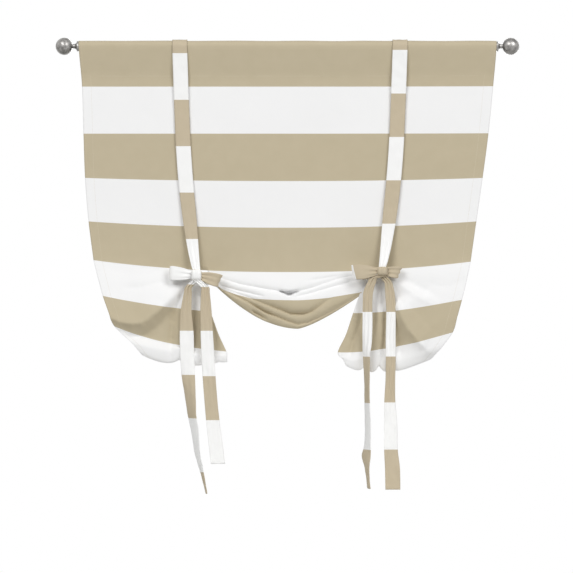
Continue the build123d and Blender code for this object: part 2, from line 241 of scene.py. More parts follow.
# Ties: cloth, pleats where they are gathered, hollow across where they are flat, and wrinkles
tie_thickness = 1.3
tie_width = 38
tie_gathered_width = 18
tie_pleats = 2.5
tie_pleat_height = 2.2
tie_cup = 1.2
tie_cup_level = 0.3
tie_wrinkle_size = 22
tie_wrinkle_height = 0.9
tie_wrinkle_slant = (1.4, 0.5)
# Way of the ties over the rod and through the knots
tie_hang_gap = 2.5
tail_lean = 5
knot_standoff = 29
layer_step = 4
turn_radius = 10.8
loop_opening = 13
# Direction of each side along X
OUT = {"left": -1, "right": 1}
# Knots: place and height, then how far from them the straps hang at the rod.
KNOT = {"left": (-231, -584), "right": (241, -574)}
TIE_SPREAD = {"left": 44, "right": 46}
# Bands of the straps: height of the first change of colour and distance from one change to the next.
STRAP_BANDS = {"left": (-18.4, 118.4), "right": (-10.2, 110.7)}
# Straps below the pocket: share of the fall, share of the spread that is left, fullness of the width, and
# how near they are to lying on the panel and to the depth of the knot.
strap_rows = [
    (0.00, 1.00, 1.00, 0.00, 0.00),
    (0.13, 0.95, 1.00, 0.70, 0.00),
    (0.25, 0.90, 1.00, 1.00, 0.00),
    (0.45, 0.79, 1.00, 1.00, 0.00),
    (0.62, 0.63, 0.98, 1.00, 0.00),
    (0.78, 0.41, 0.85, 1.00, 0.08),
    (0.90, 0.22, 0.50, 1.00, 0.38),
    (0.97, 0.08, 0.20, 1.00, 0.80),
]
# Angles of a strap's first stations around the rod, in degrees, and its gap to the panel that it lies on.
strap_top_angles = (84, 70, 55, 40, 25, 10)
strap_lie_gap = 6
# Loops: reach, and rise, lie in degrees and fullness at the far end, then band at the start and end.
LOOPS = {
    "left_outer": (69, 5.5, -88, 0.90, 5.75, 5.95),
    "left_inner": (59, -15, -65, 0.80, 6.10, 6.90),
    "right_outer": (44, -4, -112, 0.65, 6.10, 6.20),
    "right_inner": (75, -3, -76, 1.05, 5.00, 6.66),
}
# Loops from the knot out and home: reach share, half-opening share from back to front and fullness of the
# width.
loop_rows = [
    (0.22, -0.30, 0.10),
    (0.52, -0.85, 0.72),
    (0.86, -1.00, 1.00),
    (1.00, 0.00, 0.86),
    (0.86, 1.00, 1.00),
    (0.52, 0.85, 0.72),
    (0.22, 0.30, 0.10),
]
# Wrap of a back tie around the gathered cloth: inward share, share of the way to the front, share of the
# rise.
wrap_rows = [
    (0.72, 0.00, 0.00),
    (0.93, 0.04, 0.00),
    (1.00, 0.15, 0.00),
    (1.00, 0.85, 0.00),
    (0.93, 0.96, 0.10),
    (0.72, 1.00, 0.25),
]
# Wrap's reach inwards and its drop below the knot, then its depth behind.
WRAP = {"left": (28, 16), "right": (49, 13)}
wrap_depth = 24
# Tails: across share of the tie's width, drop share of the tail's length, twist in degrees and width.
TAILS = {
    "left_outer": [
        (0.55, 0.057, 0, 17),
        (0.71, 0.160, 6, 27),
        (0.68, 0.252, 4, 35),
        (0.64, 0.356, -6, 36),
        (0.57, 0.459, 14, 35),
        (0.45, 0.550, 38, 35),
        (0.33, 0.642, 52, 36),
        (0.12, 0.720, 58, 36),
        (-0.03, 0.815, 67, 36),
        (-0.33, 0.900, 75, 36),
        (-0.63, 1.000, 84, 36),
    ],
    "left_inner": [
        (-0.57, 0.066, 0, 20),
        (-0.62, 0.186, 4, 28),
        (-0.67, 0.292, -5, 31),
        (-0.74, 0.412, 6, 33),
        (-0.83, 0.531, -7, 33),
        (-0.95, 0.664, 6, 33),
        (-1.07, 0.764, 4, 34),
        (-1.24, 0.877, 9, 36),
        (-1.42, 1.000, 11, 37),
    ],
    "right_outer": [
        (0.40, 0.052, 0, 19),
        (0.52, 0.110, 0, 24),
        (0.58, 0.190, 5, 24),
        (0.56, 0.300, -7, 25),
        (0.56, 0.391, 9, 25),
        (0.54, 0.500, -8, 24),
        (0.50, 0.597, 7, 28),
        (0.57, 0.706, -5, 34),
        (0.58, 0.817, 7, 35),
        (0.68, 0.900, -5, 38),
        (0.71, 1.000, 4, 38),
    ],
    "right_inner": [
        (-0.60, 0.035, 0, 18),
        (-0.93, 0.090, 6, 24),
        (-1.00, 0.150, 8, 24),
        (-1.00, 0.220, 10, 25),
        (-1.03, 0.318, 30, 27),
        (-1.08, 0.393, 56, 30),
        (-1.05, 0.503, 70, 35),
        (-1.04, 0.600, 71, 36),
        (-0.99, 0.710, 68, 36),
        (-1.00, 0.800, 66, 36),
        (-1.10, 0.850, 54, 36),
        (-1.04, 0.910, 75, 36),
        (-0.92, 1.000, 80, 36),
    ],
}
TAIL_LENGTH = {"left_outer": 556, "left_inner": 480, "right_outer": 556, "right_inner": 553}
# Bands of the tails: number of the first band and the heights at which it and the next ones begin.
TAIL_BANDS = {
    "left_outer": (6, (-611, -725.6, -837.9, -947.7, -1085)),
    "left_inner": (8, (-609, -725.6, -841, -952.8)),
    "right_outer": (7, (-677.7, -791.3, -908, -1028)),
    "right_inner": (7, (-677.7, -791.3, -909, -1028)),
}
tail_band_pitch = 114
# Knots: width, height, bulge and band, then the shape of the pad: how square its outline is, how its ends
# round off, and its creases.
KNOT_SIZE = {"left": (26, 27, 9, 5.8), "right": (27, 21, 9, 6.15)}
knot_squareness = 0.7
knot_end_power = 4
knot_end_height = 0.55
knot_end_depth = 0.3
knot_crease_height = 0.06
knot_crease_turn = 9

# Seams: distance of a side hem from the edge, place of the bottom hem on the way from the knots to the edge
# behind, margin at a seam's ends, and stitches. A face's direction is measured over the surface step.
side_hem = 22
bottom_hem_place = 0.955
seam_margin = 0.02
stitch_pitch = 3.6
stitch_length = 2.7
thread_width = 0.6
surface_step = 0.004

# Mesh density
wing_columns = 90
wing_steps = 104
swag_columns = 84
swag_steps = 112
upper_steps = 28
pocket_steps = 17
pocket_wall_steps = 8
ribbon_step = 4
ribbon_shortest_step = 0.5
ribbon_columns = 13
loop_stations = 15
tail_stations = 31
knot_steps_around = 33
knot_steps_along = 15
seam_steps = 120
side_seam_steps = 60


def smooth(rows, place):
    """Return the numbers at place, 0 to 1, on a smooth curve through evenly spaced rows of numbers."""
    last = len(rows) - 1
    first = min(int(place * last), last - 1)
    t = place * last - first
    near = [rows[min(max(first + step, 0), last)] for step in (-1, 0, 1, 2)]
    return [
        b + t / 2 * (c - a + t * (2 * a - 5 * b + 4 * c - d + t * (3 * (b - c) + d - a)))
        for a, b, c, d in zip(*near)
    ]


def spaced(count):
    """Return count places, evenly spaced from 0 to 1."""
    return [step / (count - 1) for step in range(count)]


def ease(share):
    """Return a share from 0 to 1 with soft ends."""
    share = min(max(share, 0), 1)
    return share * share * (3 - 2 * share)


def shown_share(stripe, begin, growth, end, fading):
    """Return how much of the creases or ruffles shows at a stripe."""
    return ease((stripe - begin) / growth) * (1 - ease((stripe - end) / fading))


def fade(away, reach):
    """Return what is left of a crease or ruffle at a distance from its middle, which is rounded."""
    return exp((crease_softness - hypot(away, crease_softness)) / reach)


def wrinkled(point):
    """Return a point of the panel with the cloth's small unevenness added."""
    spot = Vector((point.x, 0, point.z)) / wrinkle_size
    return point + Vector((0, wrinkle_height * noise.noise(spot), 0))


def side_of(across):
    """Return the side of the panel that a place across it is on."""
    return "left" if across < 0 else "right"


def stripe_at(height):
    """Return the stripe at a height in the panel's first stripe."""
    return (panel_top - height) / (panel_top - middle_rows[1][0])


def wing_edges(side):
    """Return the distances from the middle of a wing's side edge and fan edge at the knots."""
    return WING_ROWS[side][0][1], WING_ROWS[side][0][3]


def closing(across):
    """Return how open a wing still is, from the side edge at 0 to the fan's edge at 1."""
    return 1 - fan_closing * across**fan_closing_power


def swag_share(x):
    """Return how far a place on the swag is from its lowest point, 0, towards its end, 1."""
    end = SWAG_ENDS["left" if x < swag_lowest else "right"]
    return min((x - swag_lowest) / (end - swag_lowest), 1)


def swell(x):
    """Return how full the swag is at a place across it."""
    return swag_end_fullness + (1 - swag_end_fullness) * (1 - swag_share(x) ** swag_swell_power)


def crease_push(creases, out, z):
    """Return how far the creases of a wing push a point back."""
    total = 0.0
    for points, depth, left_reach, right_reach in creases:
        weights = pushes = 0.0
        for i, ((ax, az), (bx, bz)) in enumerate(zip(points, points[1:])):
            span = hypot(bx - ax, bz - az)
            along = min(max(((out - ax) * (bx - ax) + (z - az) * (bz - az)) / span**2, 0), 1)
            away = hypot(out - ax - along * (bx - ax), z - az - along * (bz - az))
            turn = (bx - ax) * (z - az) - (bz - az) * (out - ax)
            place = (i + along) / (len(points) - 1)
            strength = ease(place * crease_begin) * ease((1 - place) * crease_end)
            reach = left_reach if turn > 0 else right_reach
            weight = exp(-away / crease_blend)
            pushes += weight * strength * fade(away, reach)
            weights += weight
        total += depth * pushes / max(weights, smallest_weight)
    return total


def crease_at(points, x):
    """Return the height and depth of a swag's crease at a place across, or no depth outside its ends."""
    for (x0, z0, depth0), (x1, z1, depth1) in zip(points, points[1:]):
        if x0 <= x <= x1:
            t = (x - x0) / (x1 - x0)
            return z0 + (z1 - z0) * t, depth0 + (depth1 - depth0) * ease(t)
    return 0, 0


def upper_point(across, stripe):
    """Return a point of the hanging panel above the knots, across from -1 to 1."""
    place = stripe / knot_stripe
    side = side_of(across)
    edge_x, edge_z = smooth(EDGE_ROWS[side], place)
    middle_z = smooth(middle_rows, place)[0]
    out = abs(across) * edge_x
    inner = wing_edges(side)[1]
    if out >= inner:
        fullness = closing((edge_x - out) / (edge_x - inner))
    elif out <= abs(SWAG_ENDS[side]):
        fullness = swell(OUT[side] * out)
    else:
        fullness = swag_end_fullness
    settle = max((stripe - settle_stripe) / (knot_stripe - settle_stripe), 0) ** settle_power
    sway = noise.noise(Vector((across * sway_across, stripe * sway_down, sway_place))) * sway_height
    sway *= ease((stripe - sway_start) / sway_growth)
    y = -knot_level_depth * fullness * settle + sway * (1 - settle)
    z = middle_z + (edge_z - middle_z) * abs(across) ** edge_lift_power
    return wrinkled(Vector((OUT[side] * out, y, z)))


def wing_point(side, across, place):
    """Return a point of a wing and its stripe, from side edge to fan and from the panel to the hem."""
    stripe, edge_x, edge_z, inner_x, inner_z, sag, depth = smooth(WING_ROWS[side], place)
    skew, skew_gain = SAG_SKEW[side]
    out = edge_x + (inner_x - edge_x) * across
    z = edge_z + (inner_z - edge_z) * across - sag * 4 * across * (1 - across) * (skew + skew_gain * across)
    if place == 0:
        return upper_point(OUT[side] * out / edge_x, knot_stripe), stripe
    push = crease_push(WING_CREASES[side], out, z) * shown_share(stripe, *wing_crease_stripes)
    lift = sum(high * fade(out - at, reach) for at, high, reach in HEM_RUFFLES[side])
    lift *= shown_share(stripe, *hem_ruffle_stripes)
    return wrinkled(Vector((OUT[side] * out, depth * closing(across) + push, z + lift))), stripe


def swag_point(across, place):
    """Return a point of the swag and its stripe, across from -1 to 1 and from the panel to the hem."""
    stripe, left_x, left_z, lowest_z, right_x, right_z, depth, *powers = smooth(swag_rows, place)
    share = (across + 1) / 2
    x = left_x + (right_x - left_x) * share
    if place == 0:
        return upper_point(x / EDGE_ROWS[side_of(x)][-1][0], knot_stripe), stripe
    if x < swag_lowest:
        end_x, end_z, power = left_x, left_z, powers[0]
    else:
        end_x, end_z, power = right_x, right_z, powers[1]
    far = (x - swag_lowest) / (end_x - swag_lowest)
    flat_z = end_z + (lowest_z - end_z) * (1 - far**power)
    y = depth * swell(x)
    z = flat_z
    front = shown_share(stripe, *swag_crease_stripes)
    for reach_above, reach_below, points in swag_creases:
        height, deep = crease_at(points, x)
        deep *= front
        above = flat_z - height - crease_overhang * deep
        if above > 0:
            y += deep * exp(-above / reach_above)
            z -= crease_overhang * deep * exp(-above / reach_above)
        else:
            y += deep * exp(above / reach_below)
            z -= crease_overhang * deep * exp(above / crease_tuck)
    top, deep = crease_at(hollow_top, x)
    bottom = crease_at(hollow_bottom, x)[0]
    y += deep * front * ease((top - z) / hollow_edge + 0.5) * ease((z - bottom) / hollow_edge + 0.5)
    return wrinkled(Vector((x, y, z))), stripe


def pocket_rows(columns):
    """Return the rows of the rod pocket, from the hem behind, over the rod and down to the front seam."""
    radius = rod_radius + pocket_slack
    wall = spaced(pocket_wall_steps)[:-1]
    profile = [(pocket_hem_lie, -seam_drop - pocket_hem)]
    for share in wall:
        profile.append((pocket_hem_lie + (radius - pocket_hem_lie) * share, -seam_drop * (1 - share)))
    profile += [(radius * cos(pi * share), radius * sin(pi * share)) for share in spaced(pocket_steps)]
    profile += [(-radius * share, -seam_drop * (1 - share)) for share in reversed(wall)]
    size_x, size_y, size_z = pocket_ripple_sizes
    grid = []
    for depth, height in profile:
        row = []
        stripe = stripe_at(height)
        for across in columns:
            x = across * smooth(EDGE_ROWS[side_of(across)], max(stripe, 0) / knot_stripe)[0]
            ripple = pocket_ripple * noise.noise(Vector((x / size_x, depth / size_y, height / size_z)))
            lie = 1 + ripple / radius
            y = depth * lie - pocket_ripple_crossing * ripple * (1 - abs(depth) / radius)
            z = height * lie if height > 0 else height
            row.append((Vector((x, y, z)), pocket_back_stripe if depth > 0 else stripe))
        grid.append(row)
    return grid


def panel_grids():
    """Return the panel's grids of points and stripes: pocket with upper panel, two wings and the swag."""
    wings = spaced(wing_columns)
    swags = spaced(swag_columns)
    columns = {}
    for side in WING_ROWS:
        edge, inner = wing_edges(side)
        columns[side] = [OUT[side] * (edge + (inner - edge) * share) / edge for share in wings]
    swag_x = [SWAG_ENDS["left"] + (SWAG_ENDS["right"] - SWAG_ENDS["left"]) * share for share in swags]
    swag_across = [x / EDGE_ROWS[side_of(x)][-1][0] for x in swag_x]
    upper_columns = columns["left"] + swag_across + columns["right"][::-1]
    upper = pocket_rows(upper_columns)
    seam_stripe = stripe_at(-seam_drop)
    for share in spaced(upper_steps)[1:]:
        stripe = seam_stripe + (knot_stripe - seam_stripe) * share
        upper.append([(upper_point(across, stripe), stripe) for across in upper_columns])
    grids = [upper]
    for side, order in (("left", wings), ("right", wings[::-1])):
        grids.append([[wing_point(side, share, place) for share in order] for place in spaced(wing_steps)])
    grids.append([[swag_point(2 * share - 1, place) for share in swags] for place in spaced(swag_steps)])
    return grids


def new_object(name, data):
    """Return a new object for a mesh, lamp or camera, linked to the scene."""
    thing = bpy.data.objects.new(name, data)
    bpy.context.scene.collection.objects.link(thing)
    return thing


def cloth_object(name, grids, thickness, materials):
    """Return a cloth object made of grids of points and stripes, with face and reverse materials."""
    mesh = bpy.data.meshes.new(name)
    bm = bmesh.new()
    stripe_layer = bm.verts.layers.float.new("stripe")
    across_layer = bm.verts.layers.float.new("across")
    down_layer = bm.verts.layers.float.new("down")
    for grid in grids:
        rows = []
        down = [0.0] * len(grid[0])
        for i, row in enumerate(grid):
            verts = []
            across = 0.0
            for j, (point, stripe) in enumerate(row):
                if i:
                    down[j] += (point - grid[i - 1][j][0]).length
                if j:
                    across += (point - row[j - 1][0]).length
                vert = bm.verts.new(point * MM)
                vert[stripe_layer] = stripe
                vert[across_layer] = across * MM
                vert[down_layer] = down[j] * MM
                verts.append(vert)
            rows.append(verts)
        for upper, lower in zip(rows, rows[1:]):
            for j in range(len(upper) - 1):
                bm.faces.new((upper[j], lower[j], lower[j + 1], upper[j + 1]))
    uv = bm.loops.layers.uv.new("cloth")
    for face in bm.faces:
        face.smooth = True
        for loop in face.loops:
            loop[uv].uv = (loop.vert[across_layer], loop.vert[down_layer])
    bmesh.ops.remove_doubles(bm, verts=bm.verts, dist=weld_distance * MM)
    bm.to_mesh(mesh)
    bm.free()
    for material in materials:
        mesh.materials.append(material)
    thing = new_object(name, mesh)
    solidify = thing.modifiers.new("thickness", "SOLIDIFY")
    solidify.thickness = thickness * MM
    solidify.offset = 0
    solidify.material_offset = len(materials) - 1
    return thing


def on_face(surface, across, down, facing):
    """Return a point raised to the cloth's face; facing is -1 where across runs from right to left."""
    here = surface(across, down)
    below = surface(across, down + surface_step) - here
    beside = surface(across + surface_step, down) - here
    return here + below.cross(beside).normalized() * facing * cloth_thickness / 2


def wing_surface(side):
    """Return a function that gives the points of a wing without their stripes."""
    return lambda across, place: wing_point(side, across, place)[0]


def swag_surface(across, place):
    """Return a point of the swag without its stripe."""
    return swag_point(across, place)[0]


def seam_paths():
    """Return the panel's seams as lists of points: the pocket's seam on both faces, then all the hems."""
    start = stripe_at(-seam_drop) + seam_margin
    inset = [2 * seam_margin + (1 - 4 * seam_margin) * share for share in spaced(seam_steps)]
    pocket_seam = [on_face(upper_point, 2 * share - 1, start, 1) for share in inset]
    through = Vector((0, pocket_hem_lie + cloth_thickness, 0))
    paths = [pocket_seam, [point + through for point in pocket_seam]]
    stripes = [start + (knot_stripe - start) * share for share in spaced(side_seam_steps)]
    for side in WING_ROWS:
        wing = wing_surface(side)
        # Across a wing runs from its side edge to the fan, which is from right to left on the right wing.
        facing = -OUT[side]
        edge, inner = wing_edges(side)
        column = OUT[side] * (1 - side_hem / edge)
        hem = [on_face(upper_point, column, stripe, 1) for stripe in stripes]
        hem += [on_face(wing, side_hem / (edge - inner), place, facing) for place in inset]
        paths.append(hem)
        paths.append([on_face(wing, share, bottom_hem_place, facing) for share in inset])
    paths.append([on_face(swag_surface, 2 * share - 1, bottom_hem_place, 1) for share in inset])
    return paths


def stitching_tree():
    """Return a node tree that sews stitches along the edges of a mesh, with inputs for their sizes."""
    tree = bpy.data.node_groups.new("stitching", "GeometryNodeTree")
    sockets = (
        ("Seams", "NodeSocketGeometry"),
        ("Pitch", "NodeSocketFloat"),
        ("Stitch length", "NodeSocketFloat"),
        ("Thread width", "NodeSocketFloat"),
        ("Thread", "NodeSocketMaterial"),
    )
    for name, kind in sockets:
        tree.interface.new_socket(name, in_out="INPUT", socket_type=kind)
    tree.interface.new_socket("Stitches", in_out="OUTPUT", socket_type="NodeSocketGeometry")
    given = add(tree, "NodeGroupInput", {}).outputs
    lines = add(tree, "GeometryNodeMeshToCurve", {"Mesh": given["Seams"]})
    spacing = {"Curve": lines.outputs[0], "Length": given["Pitch"]}
    spots = add(tree, "GeometryNodeCurveToPoints", spacing, mode="LENGTH")
    stitch = add(tree, "GeometryNodeMeshUVSphere", {"Segments": 6, "Rings": 4, "Radius": 0.5})
    along = add(tree, "FunctionNodeAlignRotationToVector", {"Vector": spots.outputs["Tangent"]}, axis="X")
    sizes = {"X": given["Stitch length"], "Y": given["Thread width"], "Z": given["Thread width"]}
    size = add(tree, "ShaderNodeCombineXYZ", sizes)
    sewn = add(tree, "GeometryNodeInstanceOnPoints", {
        "Points": spots.outputs["Points"],
        "Instance": stitch.outputs["Mesh"],
        "Rotation": along.outputs[0],
        "Scale": size.outputs[0],
    })
    real = add(tree, "GeometryNodeRealizeInstances", {"Geometry": sewn.outputs[0]})
    sewing = {"Geometry": real.outputs[0], "Material": given["Thread"]}
    coloured = add(tree, "GeometryNodeSetMaterial", sewing)
    add(tree, "NodeGroupOutput", {"Stitches": coloured.outputs[0]})
    return tree


def stitches_object(name, paths, thread):
    """Return the stitches along paths of points as one plain mesh object."""
    mesh = bpy.data.meshes.new(f"{name}_paths")
    points, edges = [], []
    for path in paths:
        edges += [(len(points) + i, len(points) + i + 1) for i in range(len(path) - 1)]
        points += [point * MM for point in path]
    mesh.from_pydata(points, edges, [])
    seams = new_object(f"{name}_paths", mesh)
    modifier = seams.modifiers.new("stitching", "NODES")
    modifier.node_group = stitching_tree()
    values = {
        "Pitch": stitch_pitch * MM,
        "Stitch length": stitch_length * MM,
        "Thread width": thread_width * MM,
        "Thread": thread,
    }
    for socket in modifier.node_group.interface.items_tree:
        if socket.name in values:
            modifier[socket.identifier] = values[socket.name]
    depsgraph = bpy.context.evaluated_depsgraph_get()
    sewn = bpy.data.meshes.new_from_object(seams.evaluated_get(depsgraph), depsgraph=depsgraph)
    sewn.name = name
    bpy.data.objects.remove(seams)
    return new_object(name, sewn)


def layer_y(layer):
    """Return the depth of one layer of cloth in a knot, counted from the panel."""
    return -knot_standoff - layer * layer_step


def station(side, out, y, z, width, lie, band, twist=0):
    """Return one station of a tie as numbers: centre, half of the width as a vector, gather and band."""
    x = KNOT[side][0] + OUT[side] * out
    half = width / 2
    flat = half * cos(radians(twist))
    gather = min(max((tie_width - width) / (tie_width - tie_gathered_width), 0), 1)
    return (
        x, y, z,
        OUT[side] * cos(radians(lie)) * flat, half * sin(radians(twist)), sin(radians(lie)) * flat,
        gather, band,
    )


def strap(side, facing, foot_y, foot_z):
    """Return the stations of a strap from the top of the pocket down to its foot; facing is -1 in front."""
    spread = TIE_SPREAD[side]
    first, pitch = STRAP_BANDS[side]
    radius = rod_radius + tie_hang_gap + cloth_thickness
    rows = []
    for lift in strap_top_angles:
        y = facing * radius * cos(radians(lift))
        z = radius * sin(radians(lift))
        rows.append(station(side, spread, y, z, tie_width, 0, 1 + (first - z) / pitch))
    for fall, left, fullness, lying, joining in strap_rows:
        z = foot_z * fall
        y = facing * (radius + (strap_lie_gap - radius) * lying)
        y += (foot_y - y) * joining
        width = tie_gathered_width + (tie_width - tie_gathered_width) * fullness
        rows.append(station(side, spread * left, y, z, width, 0, 1 + (first - z) / pitch))
    return rows


def knot_turn(side, outwards, rise, y, z, lies, band):
    """Return the stations of a flat turn in a knot; rise is 1 above the knot's level z and -1 below it."""
    rows = []
    for lie in lies:
        out = outwards * turn_radius * (1 - abs(cos(radians(lie))))
        level = z + rise * turn_radius * (1 + sin(radians(lie)))
        rows.append(station(side, out, y, level, tie_gathered_width, lie, band))
    return rows


def bow_loop(side, half, outwards, layer):
    """Return the stations of one bow loop, out along its back layer and home along its front layer."""
    reach, rise, lie, spread, band_start, band_end = LOOPS[f"{side}_{half}"]
    middle_y = (layer_y(layer) + layer_y(layer + 1)) / 2
    rows = []
    for place in spaced(loop_stations):
        out_share, opening, fullness = smooth(loop_rows, place)
        out = outwards * reach * out_share
        y = middle_y - opening * loop_opening / 2
        z = KNOT[side][1] + rise * out_share
        width = tie_gathered_width + (tie_width - tie_gathered_width) * fullness * spread
        band = band_start + (band_end - band_start) * place
        rows.append(station(side, out, y, z, width, -90 + (lie + 90) * ease(out_share), band))
    return rows


def tail_band(name, z):
    """Return the band of a tail at a height."""
    first, heights = TAIL_BANDS[name]
    if z >= heights[0]:
        return first - (z - heights[0]) / tail_band_pitch
    for i, (here, there) in enumerate(zip(heights, heights[1:])):
        if z >= there:
            return first + i + (here - z) / (here - there)
    return first + len(heights) - 1 + (heights[-1] - z) / tail_band_pitch


def tail(side, half, y, flip):
    """Return the stations of one hanging tail; flip is -1 where its outer edge comes first."""
    name = f"{side}_{half}"
    lie = 0 if flip > 0 else 180
    rows = []
    for place in spaced(tail_stations):
        across, drop, twist, width = smooth(TAILS[name], place)
        out = across * tie_width
        depth = y + tail_lean * drop
        z = KNOT[side][1] - TAIL_LENGTH[name] * drop
        rows.append(station(side, out, depth, z, width, lie, tail_band(name, z), twist))
    return rows


def ribbon_grid(stations):
    """Return the grid of points and bands of a tie that follows its stations on a smooth line."""
    lengths = [0.0]
    for here, there in zip(stations, stations[1:]):
        step = (Vector(there[:3]) - Vector(here[:3])).length
        lengths.append(lengths[-1] + max(step, ribbon_shortest_step))
    slopes = []
    for i in range(len(stations)):
        low, high = max(i - 1, 0), min(i + 1, len(stations) - 1)
        run = lengths[high] - lengths[low]
        slopes.append([(b - a) / run for a, b in zip(stations[low], stations[high])])
    rows = []
    for i in range(len(stations) - 1):
        span = lengths[i + 1] - lengths[i]
        count = max(round(span / ribbon_step), 1)
        for step in range(count):
            t = step / count
            near, out = t * t * (3 - 2 * t), t * (1 - t) * span
            rows.append([
                a + (b - a) * near + out * ((1 - t) * p - t * q)
                for a, b, p, q in zip(stations[i], stations[i + 1], slopes[i], slopes[i + 1])
            ])
    rows.append(list(stations[-1]))
    slant_x, slant_z = tie_wrinkle_slant
    grid = []
    for i, row in enumerate(rows):
        before, after = rows[max(i - 1, 0)], rows[min(i + 1, len(rows) - 1)]
        along = Vector(after[:3]) - Vector(before[:3])
        centre, half, gather, band = Vector(row[:3]), Vector(row[3:6]), row[6], row[7]
        normal = along.cross(half).normalized()
        points = []
        for share in spaced(ribbon_columns):
            across = 2 * share - 1
            flat = centre + half * across
            spot = Vector((flat.x * slant_x + flat.z * slant_z, flat.y, flat.z)) / tie_wrinkle_size
            rise = gather * tie_pleat_height * cos(tie_pleats * pi * across)
            rise += (1 - gather) * tie_cup * (across * across - tie_cup_level)
            rise += tie_wrinkle_height * noise.noise(spot)
            points.append((flat + normal * rise, band))
        grid.append(points)
    return grid


def squared(share):
    """Return a sine or cosine with its share swollen, so that the outline is squarer than an ellipse."""
    return copysign(abs(share) ** knot_squareness, share)


def knot_grid(side):
    """Return the grid of points and bands of a bow's knot: a small wrapped pad with soft creases."""
    width, height, bulge, band = KNOT_SIZE[side]
    knot_x, knot_z = KNOT[side]
    centre_y = layer_y(1.5)
    depth = -(layer_y(3) - bulge) + centre_y
    grid = []
    for around in spaced(knot_steps_around):
        angle = 2 * pi * around
        row = []
        for share in spaced(knot_steps_along):
            along = 2 * share - 1
            round_off = (1 - abs(along) ** knot_end_power) ** 0.5
            crease = 1 + knot_crease_height * cos(along * knot_crease_turn) * abs(sin(angle))
            squeeze = (knot_end_height + (1 - knot_end_height) * round_off) * crease
            flatten = knot_end_depth + (1 - knot_end_depth) * round_off
            x = knot_x + along * width / 2
            y = centre_y - depth * squared(sin(angle)) * squeeze * flatten
            z = knot_z + height / 2 * squared(cos(angle)) * squeeze
            row.append((Vector((x, y, z)), band))
        grid.append(row)
    return grid


def front_tie(side):
    """Return a front tie's grids: strap, inner bow loop, tail and the knot that it makes."""
    knot_z = KNOT[side][1]
    band_start, band_end = LOOPS[f"{side}_inner"][-2:]
    rows = strap(side, -1, layer_y(2), knot_z + turn_radius)
    rows += knot_turn(side, -1, 1, layer_y(2), knot_z, (0, -30, -60, -90), band_start)
    rows += bow_loop(side, "inner", -1, 2)
    rows += knot_turn(side, -1, -1, layer_y(3), knot_z, (-90, -120, -150, -180), band_end)
    rows += tail(side, "inner", layer_y(3), -1)
    return [ribbon_grid(rows), knot_grid(side)]


def back_tie(side):
    """Return a back tie's grid: strap, wrap around the gathered cloth, outer bow loop and tail."""
    knot_z = KNOT[side][1]
    inwards, drop = WRAP[side]
    band_start, band_end = LOOPS[f"{side}_outer"][-2:]
    wrap_z = knot_z - drop
    rows = strap(side, 1, wrap_depth, wrap_z + turn_radius)
    rows += knot_turn(side, -1, 1, wrap_depth, wrap_z, (0, -30, -60, -90), band_start)
    for in_share, y_share, rise_share in wrap_rows:
        y = wrap_depth + (layer_y(0) - wrap_depth) * y_share
        z = wrap_z + drop * rise_share
        rows.append(station(side, -inwards * in_share, y, z, tie_gathered_width, -90, band_start))
    rows += bow_loop(side, "outer", 1, 0)
    rows += knot_turn(side, 1, -1, layer_y(1), knot_z, (-90, -60, -30, 0), band_end)
    rows += tail(side, "outer", layer_y(1), 1)
    return [ribbon_grid(rows)]


# Materials

def linear(code):
    """Return an sRGB hex colour as linear red, green, blue and alpha."""
    shares = [int(code[i:i + 2], 16) / 255 for i in (1, 3, 5)]
    return (*[c / 12.92 if c <= 0.04045 else ((c + 0.055) / 1.055) ** 2.4 for c in shares], 1.0)


def add(tree, kind, inputs, **settings):
    """Add a node with its settings; each input is a value or the socket that it is linked from."""
    node = tree.nodes.new(kind)
    for name, value in settings.items():
        setattr(node, name, value)
    for key, value in inputs.items():
        if isinstance(value, bpy.types.NodeSocket):
            tree.links.new(value, node.inputs[key])
        else:
            node.inputs[key].default_value = value
    return node


def new_material(name, inputs):
    """Return a new material, its node tree and its surface shader with the given inputs."""
    material = bpy.data.materials.new(name)
    material.use_nodes = True
    shader = material.node_tree.nodes["Principled BSDF"]
    for key, value in inputs.items():
        shader.inputs[key].default_value = value
    return material, material.node_tree, shader


def blend(tree, share, first, second):
    """Return the socket of a colour that goes from the first to the second one as the share grows."""
    return add(tree, "ShaderNodeMix", {0: share, 6: first, 7: second}, data_type="RGBA").outputs[2]


# The weave's real threads are about 0.4 mm apart, which is too fine to show, so they are drawn at 1.6 mm.
thread_spacing = 1.6
weave_depth = 0.06
# Size of the print's faint unevenness and of the painted reflections on the plating, which are lighter and
# darker patches
mottle_size = 35
reflection_patch_size = 9


def weave(tree, shader):
    """Link a plain weave's fine relief to a cloth shader and return the cloth's coordinates."""
    coordinates = add(tree, "ShaderNodeUVMap", {}, uv_map="cloth").outputs["UV"]
    # A wave texture of scale 1 repeats after 2 pi / 20.
    scale = 2 * pi / (20 * thread_spacing * MM)
    warp = add(tree, "ShaderNodeTexWave", {"Vector": coordinates, "Scale": scale}, bands_direction="X")
    weft = add(tree, "ShaderNodeTexWave", {"Vector": coordinates, "Scale": scale}, bands_direction="Y")
    threads = {0: warp.outputs["Fac"], 1: weft.outputs["Fac"]}
    both = add(tree, "ShaderNodeMath", threads, operation="MULTIPLY")
    height = {"Height": both.outputs[0], "Distance": weave_depth * MM, "Strength": 0.5}
    relief = add(tree, "ShaderNodeBump", height)
    tree.links.new(relief.outputs["Normal"], shader.inputs["Normal"])
    return coordinates


